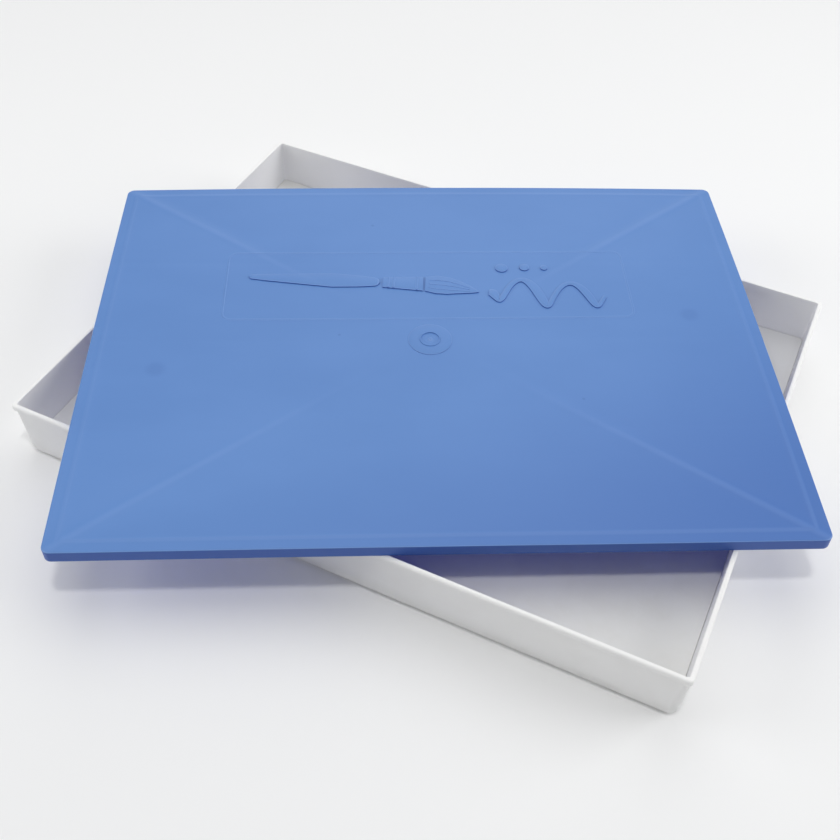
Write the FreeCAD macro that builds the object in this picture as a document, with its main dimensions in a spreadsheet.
"""Wet palette: a moulded tray with a damp sponge and a sheet of palette film in it, and its snap lid.

The row frame stands on the tray's underside: origin at the middle of that face, +X along the tray's
long side, +Z up. The lid lies across the tray's rim, turned from it, as when the palette is in use.
"""

import FreeCAD, Part
import math
import os
import Sketcher
from FreeCAD import Rotation, Vector

doc = FreeCAD.newDocument("wet_palette")

# Driving dimensions, in millimetres and degrees.
DIMENSIONS = {
    # Tray: one moulding with drafted walls and a thickened rim.
    "tray_length": 410.6,
    "tray_width": 310.2,
    "tray_height": 41.0,
    "tray_floor": 2.0,
    "tray_wall": 2.0,
    "tray_draft": 1.3,
    "tray_base_round": 5.2,
    "tray_base_corner": 5.6,
    "tray_rim_corner": 3.0,
    "tray_inner_corner": 2.2,
    "tray_inner_round": 1.2,
    "rim_bead_reach": 0.7,
    "rim_bead_tall": 3.8,
    "rim_outer_round": 1.4,
    "rim_inner_round": 0.4,
    # Lid: one moulding with a plate, a skirt, a snap bead, a sealing rib and stiffening ribs.
    "lid_length": 413.4,
    "lid_width": 312.8,
    "lid_height": 7.6,
    "lid_plate": 2.0,
    "lid_skirt": 1.2,
    "lid_corner": 3.6,
    "lid_edge_round": 0.6,
    "lid_bead_reach": 0.7,
    "lid_bead_tall": 1.4,
    "lid_bead_chamfer": 0.4,
    "seal_clearance": 0.4,
    "seal_wide": 1.2,
    "seal_tall": 2.4,
    "rib_wide": 1.2,
    "rib_tall": 0.9,
    "rib_end_gap": 4.0,
    "rib_pitch": 74.0,
    "boss_width": 11.0,
    "lid_turn": 27.46,
    "lid_shift_x": -6.6,
    "lid_shift_y": -0.95,
    # Filling: a sponge pad, and a sheet of film on it.
    "sponge_length": 400.0,
    "sponge_width": 299.6,
    "sponge_thick": 6.7,
    "sponge_corner": 3.0,
    "sponge_edge_round": 0.5,
    "film_length": 399.0,
    "film_width": 298.6,
    "film_thick": 0.3,
    "film_corner": 3.0,
    "rest_gap": 0.05,
    "film_gap": 0.2,
}

sheet = doc.addObject("Spreadsheet::Sheet", "dims")
for row, (alias, value) in enumerate(DIMENSIONS.items(), start=1):
    sheet.set(f"A{row}", alias)
    sheet.set(f"B{row}", str(value))
    sheet.setAlias(f"B{row}", alias)
doc.recompute()


def new_body(label):
    """An empty body whose Label names its node."""
    body = doc.addObject("PartDesign::Body", label)
    body.Label = label
    return body


def base_plane(body):
    """The body's own XY plane."""
    for feature in body.Origin.OriginFeatures:
        if feature.Role == "XY_Plane":
            return feature
    raise ValueError(f"{body.Label} has no XY plane")


def rounded_outline(sketch, length, width, radius):
    """Draws a rectangle with round corners about the sketch's origin, and constrains it fully."""
    half_x = length / 2 - radius
    half_y = width / 2 - radius
    # Each corner: the sign of its centre's x and y, and the angle at which its arc starts.
    corners = ((1, -1, 270), (1, 1, 0), (-1, 1, 90), (-1, -1, 180))
    for index, (side_x, side_y, start) in enumerate(corners):
        centre = Vector(side_x * half_x, side_y * half_y, 0)
        turn = Rotation(Vector(0, 0, 1), start)
        arc_start = centre + turn.multVec(Vector(radius, 0, 0))
        before_x, before_y = corners[index - 1][:2]
        before = Vector(before_x * half_x, before_y * half_y, 0)
        line_start = before + turn.multVec(Vector(radius, 0, 0))
        sketch.addGeometry(Part.LineSegment(line_start, arc_start), False)
        circle = Part.Circle(centre, Vector(0, 0, 1), radius)
        first = math.radians(start)
        sketch.addGeometry(Part.ArcOfCircle(circle, first, first + math.pi / 2), False)
    lines = (0, 2, 4, 6)
    arcs = (1, 3, 5, 7)
    for index in range(8):
        sketch.addConstraint(Sketcher.Constraint("Tangent", index, 2, (index + 1) % 8, 1))
    for line in (lines[0], lines[2]):
        sketch.addConstraint(Sketcher.Constraint("Horizontal", line))
    for line in (lines[1], lines[3]):
        sketch.addConstraint(Sketcher.Constraint("Vertical", line))
    for arc in arcs[1:]:
        sketch.addConstraint(Sketcher.Constraint("Equal", arcs[0], arc))
    sketch.addConstraint(Sketcher.Constraint("Symmetric", arcs[0], 3, arcs[2], 3, -1, 1))


def rounded_sketch(body, name, sizes, height="0", angle="0"):
    """A rounded rectangle on a plane parallel to the body's XY plane.

    sizes holds the expressions of its length, width and corner radius, height that of its plane's Z,
    and angle that of its turn about Z.
    """
    start_sizes = (100.0, 60.0, 0.5)
    sketch = body.newObject("Sketcher::SketchObject", name)
    sketch.AttachmentSupport = (base_plane(body), [""])
    sketch.MapMode = "FlatFace"
    rounded_outline(sketch, *start_sizes)
    kinds = (
        ("length", ("DistanceX", 6, 1, 2, 1)),
        ("width", ("DistanceY", 0, 1, 4, 1)),
        ("radius", ("Radius", 1)),
    )
    for (label, constraint), start, size in zip(kinds, start_sizes, sizes):
        index = sketch.addConstraint(Sketcher.Constraint(*constraint, start))
        sketch.renameConstraint(index, label)
        sketch.setExpression(f"Constraints.{label}", size)
    sketch.setExpression("AttachmentOffset.Base.z", height)
    sketch.setExpression("AttachmentOffset.Rotation.Angle", angle)
    doc.recompute()
    return sketch


def pad(body, name, sketch, length, downward=False, taper="0"):
    """Pads a sketch by an expression's length, its sides leaning outwards by that of an angle."""
    feature = body.newObject("PartDesign::Pad", name)
    feature.Profile = sketch
    feature.Reversed = downward
    feature.setExpression("Length", length)
    feature.setExpression("TaperAngle", taper)
    doc.recompute()
    return feature


def pocket(body, name, sketch, length, taper="0"):
    """Cuts a sketch upwards, like an upward pad, and checks that it took material away."""
    before = body.Shape.Volume
    feature = body.newObject("PartDesign::Pocket", name)
    feature.Profile = sketch
    feature.Reversed = True
    feature.setExpression("Length", length)
    feature.setExpression("TaperAngle", taper)
    doc.recompute()
    if not body.Shape.Volume < before:
        raise ValueError(f"{name} cuts nothing")
    return feature


def edges_at(body, height, wanted=lambda box: True):
    """The names of the edges that lie flat at a height and whose bounding box is wanted."""
    tolerance = 1e-4
    names = []
    for index, edge in enumerate(body.Shape.Edges, start=1):
        box = edge.BoundBox
        if abs(box.ZMin - height) < tolerance and abs(box.ZMax - height) < tolerance and wanted(box):
            names.append(f"Edge{index}")
    if not names:
        raise ValueError(f"{body.Label} has no such edge at {height}")
    return names


def dress(body, kind, name, edges, size_name, size):
    """Rounds or chamfers edges of the body's last feature, kind being Fillet or Chamfer."""
    last = body.Tip
    feature = body.newObject(f"PartDesign::{kind}", name)
    feature.Base = (last, edges)
    feature.setExpression(size_name, size)
    doc.recompute()
    return feature


def farther_than(half_length, half_width):
    """Picks edges that reach outside a rectangle about the Z axis."""
    return lambda box: (
        max(abs(box.XMin), abs(box.XMax)) > half_length or max(abs(box.YMin), abs(box.YMax)) > half_width
    )


def make_tray():
    """Floor and four drafted walls, then the rim with its outer bead, then the hollow."""
    body = new_body("tray")
    draft = "atan(dims.tray_draft / dims.tray_height)"
    foot = "dims.rim_bead_reach + dims.tray_draft"
    base = rounded_sketch(
        body,
        "tray_base_outline",
        [f"dims.tray_length - 2 * ({foot})", f"dims.tray_width - 2 * ({foot})", "dims.tray_base_corner"],
    )
    pad(body, "tray_block", base, "dims.tray_height", taper=draft)
    dress(body, "Fillet", "tray_base_edge", edges_at(body, 0.0), "Radius", "dims.tray_base_round")

    bead = rounded_sketch(
        body,
        "rim_bead_outline",
        ["dims.tray_length", "dims.tray_width", "dims.tray_rim_corner"],
        height="dims.tray_height - dims.rim_bead_tall",
    )
    pad(body, "rim_bead", bead, "dims.rim_bead_tall")
    bead_edge = edges_at(
        body,
        sheet.tray_height - sheet.rim_bead_tall,
        farther_than(
            (sheet.tray_length - sheet.rim_bead_reach) / 2,
            (sheet.tray_width - sheet.rim_bead_reach) / 2,
        ),
    )
    dress(body, "Chamfer", "rim_bead_slope", bead_edge, "Size", "0.8 * dims.rim_bead_reach")

    wall = "dims.tray_wall + dims.rim_bead_reach + dims.tray_draft"
    hollow_floor = rounded_sketch(
        body,
        "hollow_floor_outline",
        [f"dims.tray_length - 2 * ({wall})", f"dims.tray_width - 2 * ({wall})", "dims.tray_inner_corner"],
        height="dims.tray_floor",
    )
    pocket(body, "hollow", hollow_floor, "dims.tray_height - dims.tray_floor", taper=draft)
    inside = edges_at(body, sheet.tray_floor)
    dress(body, "Fillet", "hollow_floor_edge", inside, "Radius", "dims.tray_inner_round")
    rim_middle = sheet.rim_bead_reach + sheet.tray_wall / 2
    outer_rim = farther_than(sheet.tray_length / 2 - rim_middle, sheet.tray_width / 2 - rim_middle)
    outer_edge = edges_at(body, sheet.tray_height, outer_rim)
    dress(body, "Fillet", "rim_outer_edge", outer_edge, "Radius", "dims.rim_outer_round")
    inner_edge = edges_at(body, sheet.tray_height, lambda box: not outer_rim(box))
    dress(body, "Fillet", "rim_inner_edge", inner_edge, "Radius", "dims.rim_inner_round")
    return body


def make_rib(body, name, length, angle="0", shift="0"):
    """A low rib under the lid's plate, running through a point on its short middle line."""
    under_plate = "dims.lid_height - dims.lid_plate"
    outline = rounded_sketch(
        body, f"{name}_outline", [length, "dims.rib_wide", "0.4 * dims.rib_wide"], under_plate, angle
    )
    outline.setExpression("AttachmentOffset.Base.y", shift)
    pad(body, name, outline, "dims.rib_tall", downward=True)


def make_lid():
    """Plate and skirt, hollowed from below so that a snap bead stays on the skirt, then the ribs."""
    body = new_body("lid")
    outline = rounded_sketch(body, "lid_outline", ["dims.lid_length", "dims.lid_width", "dims.lid_corner"])
    pad(body, "lid_block", outline, "dims.lid_height")
    top = edges_at(body, sheet.lid_height)
    dress(body, "Fillet", "lid_top_edge", top, "Radius", "dims.lid_edge_round")

    bead_inset = "dims.lid_skirt + dims.lid_bead_reach"
    throat = rounded_sketch(
        body,
        "lid_throat_outline",
        [
            f"dims.lid_length - 2 * ({bead_inset})",
            f"dims.lid_width - 2 * ({bead_inset})",
            f"dims.lid_corner - ({bead_inset})",
        ],
    )
    pocket(body, "lid_throat", throat, "dims.lid_height - dims.lid_plate")
    cavity = rounded_sketch(
        body,
        "lid_cavity_outline",
        [
            "dims.lid_length - 2 * dims.lid_skirt",
            "dims.lid_width - 2 * dims.lid_skirt",
            "dims.lid_corner - dims.lid_skirt",
        ],
        height="dims.lid_bead_tall",
    )
    pocket(body, "lid_cavity", cavity, "dims.lid_height - dims.lid_plate - dims.lid_bead_tall")
    skirt_middle = sheet.lid_skirt + sheet.lid_bead_reach / 2
    inside_skirt = farther_than(sheet.lid_length / 2 - skirt_middle, sheet.lid_width / 2 - skirt_middle)
    lead_in = edges_at(body, 0.0, lambda box: not inside_skirt(box))
    dress(body, "Chamfer", "lid_bead_lead_in", lead_in, "Size", "dims.lid_bead_chamfer")

    wall = "dims.tray_wall + dims.rim_bead_reach + dims.seal_clearance"
    seal_outer = rounded_sketch(
        body,
        "seal_outer_outline",
        [f"dims.tray_length - 2 * ({wall})", f"dims.tray_width - 2 * ({wall})", "dims.tray_inner_corner"],
        height="dims.lid_height - dims.lid_plate",
    )
    pad(body, "seal_block", seal_outer, "dims.seal_tall", downward=True)
    seal_inner = rounded_sketch(
        body,
        "seal_inner_outline",
        [
            f"dims.tray_length - 2 * ({wall} + dims.seal_wide)",
            f"dims.tray_width - 2 * ({wall} + dims.seal_wide)",
            "dims.tray_inner_corner - dims.seal_wide",
        ],
        height="dims.lid_height - dims.lid_plate - dims.seal_tall",
    )
    pocket(body, "seal_hollow", seal_inner, "dims.seal_tall")

    lengthwise = f"dims.tray_length - 2 * ({wall} + dims.rib_end_gap)"
    for name, row in (("front_rib", "-1"), ("middle_rib", "0"), ("back_rib", "1")):
        make_rib(body, name, lengthwise, shift=f"{row} * dims.rib_pitch")
    diagonal = (
        f"sqrt((dims.tray_length - 2 * ({wall}))^2 + (dims.tray_width - 2 * ({wall}))^2)"
        " - 4 * dims.rib_end_gap"
    )
    corner_angle = "atan(dims.lid_width / dims.lid_length)"
    for name, side in (("rising_rib", "1"), ("falling_rib", "-1")):
        make_rib(body, name, diagonal, angle=f"{side} * {corner_angle}")
    boss = rounded_sketch(
        body,
        "boss_outline",
        ["dims.boss_width", "dims.boss_width", "0.49 * dims.boss_width"],
        height="dims.lid_height - dims.lid_plate",
    )
    pad(body, "gate_boss", boss, "dims.rib_tall", downward=True)

    body.setExpression("Placement.Base.x", "dims.lid_shift_x")
    body.setExpression("Placement.Base.y", "dims.lid_shift_y")
    body.setExpression("Placement.Base.z", "dims.tray_height + dims.rest_gap")
    body.setExpression("Placement.Rotation.Angle", "dims.lid_turn")
    return body


def make_sponge():
    """A loose pad that fills the tray's floor but for the round at its foot."""
    body = new_body("sponge")
    outline = rounded_sketch(
        body, "sponge_outline", ["dims.sponge_length", "dims.sponge_width", "dims.sponge_corner"]
    )
    pad(body, "sponge_pad", outline, "dims.sponge_thick")
    edges = edges_at(body, 0.0) + edges_at(body, sheet.sponge_thick)
    dress(body, "Fillet", "sponge_edges", edges, "Radius", "dims.sponge_edge_round")
    body.setExpression("Placement.Base.z", "dims.tray_floor + dims.rest_gap")
    return body


def make_film():
    """One sheet of palette film, flat on the sponge."""
    body = new_body("palette_film")
    outline = rounded_sketch(
        body, "film_outline", ["dims.film_length", "dims.film_width", "dims.film_corner"]
    )
    pad(body, "film_sheet", outline, "dims.film_thick")
    body.setExpression(
        "Placement.Base.z", "dims.tray_floor + dims.rest_gap + dims.sponge_thick + dims.film_gap"
    )
    return body


bodies = [make_tray(), make_lid(), make_sponge(), make_film()]
doc.recompute()

for item in doc.Objects:
    if "Invalid" in item.State or "Error" in item.State:
        raise RuntimeError(f"{item.Name} failed to build: {item.State}")
for body in bodies:
    if body.Shape.isNull() or not body.Shape.isValid():
        raise RuntimeError(f"{body.Label} has no valid shape")

os.makedirs("parts", exist_ok=True)
for body in bodies:
    body.Shape.exportStep(f"parts/{body.Label}.step")
    box = body.Shape.BoundBox
    size = f"{box.XLength:.2f} x {box.YLength:.2f} x {box.ZLength:.2f} mm"
    print(f"{body.Label}: {size}, {body.Shape.Volume / 1000:.1f} cm3, z {box.ZMin:.2f} to {box.ZMax:.2f}")
